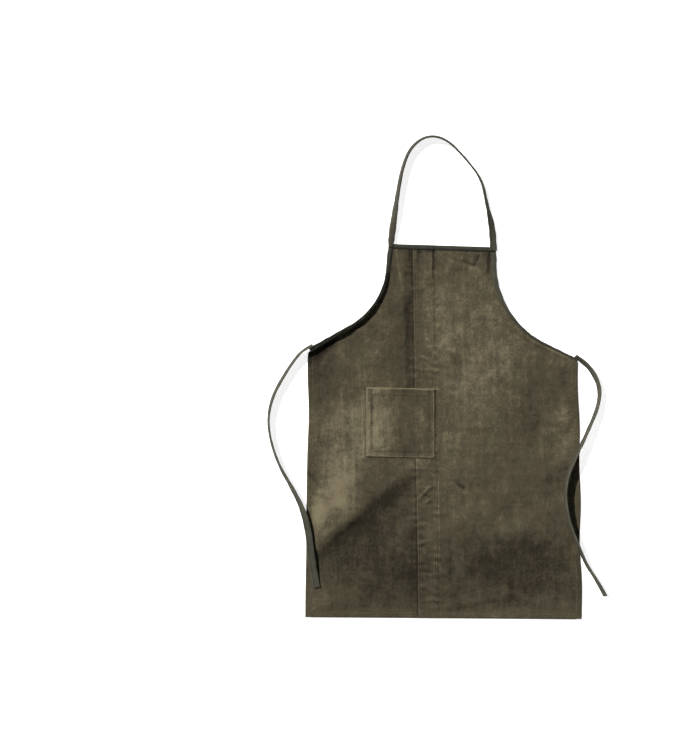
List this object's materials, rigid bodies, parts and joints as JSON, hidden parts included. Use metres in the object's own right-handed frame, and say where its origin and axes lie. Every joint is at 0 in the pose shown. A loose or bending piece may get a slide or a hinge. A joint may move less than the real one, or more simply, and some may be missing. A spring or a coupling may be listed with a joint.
{
  "type": "bib apron",
  "caption": "Canvas bib apron laid flat: two lapped panels, curved bound armholes, patch pocket, fixed neck strap and two long waist ties.",
  "frame": {"origin": "under the middle of the cloth, on the surface that it lies on; the neck strap and ties are not counted", "axes": "+Z out of the apron's face, +Y from the skirt's bottom edge to the bib, +X to the right as the face is seen"},
  "size_m": [0.7916, 1.1333, 0.016],
  "materials": {
    "left_canvas": "worn olive tent canvas, matt, darker panel",
    "right_canvas": "worn olive tent canvas, matt, sun-faded",
    "pocket_canvas": "worn olive tent canvas, matt, chafed",
    "binding_tape": "dark olive canvas tape, matt",
    "strap_tape": "dark olive folded canvas tape, matt",
    "thread": "khaki polyester sewing thread, slight sheen",
    "dark_thread": "dark olive sewing thread, slight sheen"
  },
  "bodies": {
    "apron": {"left_panel": "left_canvas", "right_panel": "right_canvas", "left_armhole_binding": "binding_tape", "right_armhole_binding": "binding_tape", "bib_top_binding": "binding_tape", "left_side_hem": "left_canvas", "right_side_hem": "right_canvas", "bottom_hem": "right_canvas", "pocket": "pocket_canvas", "pocket_top_hem": "pocket_canvas", "pocket_turned_edge": "pocket_canvas", "lap_seam_left_stitching": "thread", "lap_seam_right_stitching": "thread", "bib_top_stitching": "dark_thread", "left_armhole_stitching": "dark_thread", "right_armhole_stitching": "dark_thread", "left_side_stitching": "thread", "right_side_stitching": "thread", "bottom_hem_stitching": "thread", "pocket_outer_stitching": "thread", "pocket_inner_stitching": "thread", "pocket_hem_stitching": "thread", "pocket_bartacks": "thread", "strap_bartacks": "dark_thread", "tie_bartacks": "dark_thread"},
    "neck_strap": {"neck_strap": "strap_tape", "neck_strap_stitching": "dark_thread"},
    "left_tie": {"left_waist_tie": "strap_tape", "left_tie_stitching": "dark_thread"},
    "right_tie": {"right_waist_tie": "strap_tape", "right_tie_stitching": "dark_thread"}
  },
  "joints": [
    {"name": "neck_strap_lift", "type": "hinge", "parent": "apron", "child": "neck_strap", "pos_m": [-0.0025, 0.4363, 0.0052], "axis": [0.9995, -0.0316, 0], "range_deg": [0, 150]},
    {"name": "left_tie_lift", "type": "hinge", "parent": "apron", "child": "left_tie", "pos_m": [-0.3173, 0.1969, 0.0045], "axis": [-0.581, 0.8139, 0], "range_deg": [0, 90]},
    {"name": "right_tie_lift", "type": "hinge", "parent": "apron", "child": "right_tie", "pos_m": [0.3173, 0.1709, 0.0045], "axis": [-0.6369, -0.7709, 0], "range_deg": [0, 90]}
  ]
}
